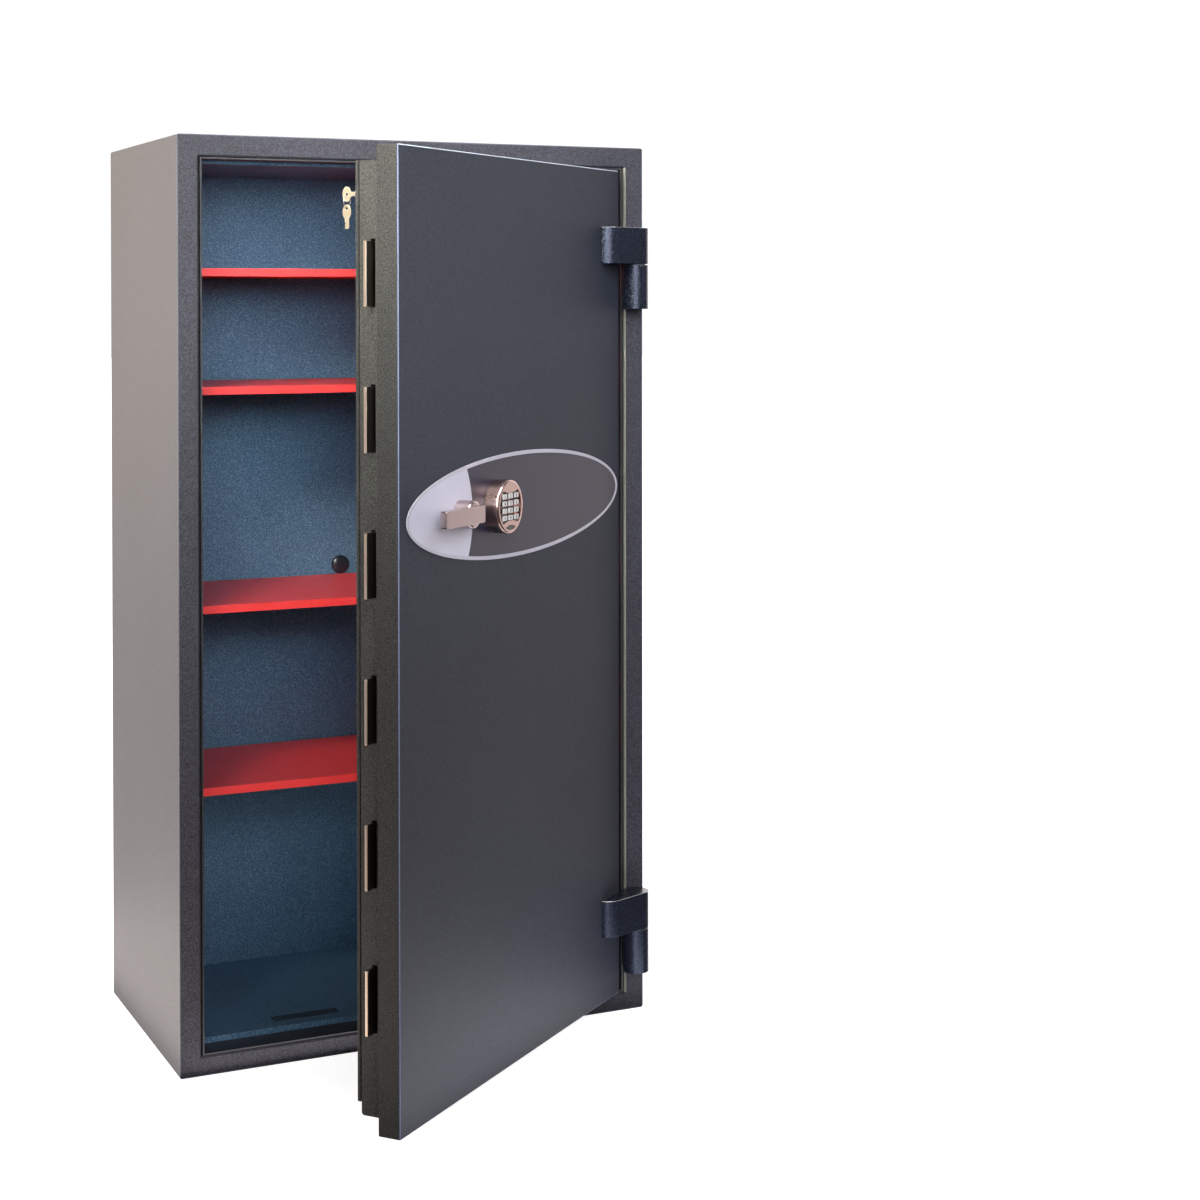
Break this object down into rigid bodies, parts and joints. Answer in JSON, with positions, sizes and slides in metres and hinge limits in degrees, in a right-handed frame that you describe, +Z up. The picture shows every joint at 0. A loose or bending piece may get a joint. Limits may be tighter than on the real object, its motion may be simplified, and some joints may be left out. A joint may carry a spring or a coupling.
{
  "type": "electronic safe",
  "caption": "Free-standing graphite electronic safe with a round keypad and lever handle, its door partly open on red shelves and a row of flat bolts.",
  "frame": {"origin": "centre of the cabinet's underside", "axes": "+Z up, the doorway faces -Y, and +X is the side that the door is hung on"},
  "size_m": [0.82, 0.9475, 1.5],
  "materials": {
    "graphite_coat": "fine textured powder coat, satin",
    "blue_coat": "blue-grey hammered enamel",
    "red_coat": "satin",
    "hinge_coat": "satin",
    "barrier_fill": "rough, matt grey concrete look",
    "bare_steel": "ground",
    "zinc_plate": "zinc plated",
    "lilac_plate": "printed, satin",
    "satin_nickel": "warm satin nickel",
    "black_plastic": "satin black",
    "pale_rubber": "matt off-white",
    "brass": "machined",
    "battery_sleeve": "printed sleeve"
  },
  "bodies": {
    "cabinet": {"outer_casing": "graphite_coat", "barrier_fill": "barrier_fill", "inner_liner": "blue_coat", "shelf_1": "red_coat", "shelf_2": "red_coat", "shelf_3": "red_coat", "shelf_4": "red_coat", "shelf_rail_front_left": "blue_coat", "shelf_rail_front_right": "blue_coat", "shelf_rail_back_left": "blue_coat", "shelf_rail_back_right": "blue_coat", "hinge_knuckle_upper": "hinge_coat", "hinge_knuckle_lower": "hinge_coat", "hinge_pin_upper": "bare_steel", "hinge_pin_lower": "bare_steel", "anchor_plug": "blue_coat", "floor_plate": "blue_coat"},
    "door": {"door_skin": "graphite_coat", "door_core": "barrier_fill", "door_back_plate": "graphite_coat", "bolt_box": "graphite_coat", "rear_cover": "graphite_coat", "hinge_leaf_upper": "hinge_coat", "hinge_leaf_lower": "hinge_coat", "escutcheon": "lilac_plate", "lock_case": "zinc_plate", "hinge_side_dogs": "bare_steel", "carriage_studs": "zinc_plate", "keypad_housing": "satin_nickel", "keypad_panel": "black_plastic", "keypad_lens": "black_plastic", "keypad_cable": "black_plastic", "cover_lock": "zinc_plate"},
    "handle": {"handle": "satin_nickel", "handle_spindle": "zinc_plate"},
    "bolts": {"bolt_carriage": "zinc_plate", "bolt_1": "bare_steel", "bolt_2": "bare_steel", "bolt_3": "bare_steel", "bolt_4": "bare_steel", "bolt_5": "bare_steel", "bolt_6": "bare_steel"},
    "lock_bolt": {"lock_bolt": "brass"},
    "battery_drawer": {"battery_drawer": "black_plastic", "battery": "battery_sleeve"},
    "cover_key": {"cover_key": "zinc_plate"},
    "spare_key": {"spare_key": "zinc_plate", "key_ring": "zinc_plate"},
    "key_1_cap": {"key_1": "pale_rubber"},
    "key_2_cap": {"key_2": "pale_rubber"},
    "key_3_cap": {"key_3": "pale_rubber"},
    "key_4_cap": {"key_4": "pale_rubber"},
    "key_5_cap": {"key_5": "pale_rubber"},
    "key_6_cap": {"key_6": "pale_rubber"},
    "key_7_cap": {"key_7": "pale_rubber"},
    "key_8_cap": {"key_8": "pale_rubber"},
    "key_9_cap": {"key_9": "pale_rubber"},
    "key_star_cap": {"key_star": "pale_rubber"},
    "key_0_cap": {"key_0": "pale_rubber"},
    "key_hash_cap": {"key_hash": "pale_rubber"}
  },
  "joints": [
    {"name": "door_hinge", "type": "hinge", "parent": "cabinet", "child": "door", "pos_m": [0.385, -0.258, 0.7241], "axis": [0, 0, 1], "range_deg": [-39, 131]},
    {"name": "handle_turn", "type": "hinge", "parent": "door", "child": "handle", "pos_m": [-0.07046, -0.61718, 0.917], "axis": [0.6293, -0.7771, 0], "range_deg": [0, 90]},
    {"name": "bolt_throw", "type": "slide", "parent": "door", "child": "bolts", "axis": [-0.7771, -0.6293, 0], "range_m": [0, 0.02]},
    {"name": "lock_bolt_throw", "type": "slide", "parent": "door", "child": "lock_bolt", "axis": [-0.7771, -0.6293, 0], "range_m": [0, 0.012]},
    {"name": "battery_drawer_slide", "type": "slide", "parent": "door", "child": "battery_drawer", "axis": [0, 0, -1], "range_m": [0, 0.03]},
    {"name": "cover_key_turn", "type": "hinge", "parent": "door", "child": "cover_key", "pos_m": [-0.24574, -0.61525, 1.39], "axis": [0.6293, -0.7771, 0], "range_deg": [0, 90]},
    {"name": "spare_key_swing", "type": "hinge", "parent": "cover_key", "child": "spare_key", "pos_m": [-0.25373, -0.60538, 1.3889], "axis": [0.7771, 0.6293, 0], "range_deg": [-12, 30]},
    {"name": "key_1_press", "type": "slide", "parent": "door", "child": "key_1_cap", "axis": [-0.6293, 0.7771, 0], "range_m": [0, 0.001], "stiffness_N_per_m": 400},
    {"name": "key_2_press", "type": "slide", "parent": "door", "child": "key_2_cap", "axis": [-0.6293, 0.7771, 0], "range_m": [0, 0.001], "stiffness_N_per_m": 400},
    {"name": "key_3_press", "type": "slide", "parent": "door", "child": "key_3_cap", "axis": [-0.6293, 0.7771, 0], "range_m": [0, 0.001], "stiffness_N_per_m": 400},
    {"name": "key_4_press", "type": "slide", "parent": "door", "child": "key_4_cap", "axis": [-0.6293, 0.7771, 0], "range_m": [0, 0.001], "stiffness_N_per_m": 400},
    {"name": "key_5_press", "type": "slide", "parent": "door", "child": "key_5_cap", "axis": [-0.6293, 0.7771, 0], "range_m": [0, 0.001], "stiffness_N_per_m": 400},
    {"name": "key_6_press", "type": "slide", "parent": "door", "child": "key_6_cap", "axis": [-0.6293, 0.7771, 0], "range_m": [0, 0.001], "stiffness_N_per_m": 400},
    {"name": "key_7_press", "type": "slide", "parent": "door", "child": "key_7_cap", "axis": [-0.6293, 0.7771, 0], "range_m": [0, 0.001], "stiffness_N_per_m": 400},
    {"name": "key_8_press", "type": "slide", "parent": "door", "child": "key_8_cap", "axis": [-0.6293, 0.7771, 0], "range_m": [0, 0.001], "stiffness_N_per_m": 400},
    {"name": "key_9_press", "type": "slide", "parent": "door", "child": "key_9_cap", "axis": [-0.6293, 0.7771, 0], "range_m": [0, 0.001], "stiffness_N_per_m": 400},
    {"name": "key_star_press", "type": "slide", "parent": "door", "child": "key_star_cap", "axis": [-0.6293, 0.7771, 0], "range_m": [0, 0.001], "stiffness_N_per_m": 400},
    {"name": "key_0_press", "type": "slide", "parent": "door", "child": "key_0_cap", "axis": [-0.6293, 0.7771, 0], "range_m": [0, 0.001], "stiffness_N_per_m": 400},
    {"name": "key_hash_press", "type": "slide", "parent": "door", "child": "key_hash_cap", "axis": [-0.6293, 0.7771, 0], "range_m": [0, 0.001], "stiffness_N_per_m": 400}
  ],
  "couplings": [
    {"joint": "bolt_throw", "follows": "handle_turn", "m_per_rad": 0.012732},
    {"joint": "lock_bolt_throw", "follows": "handle_turn", "m_per_rad": 0.007639}
  ]
}
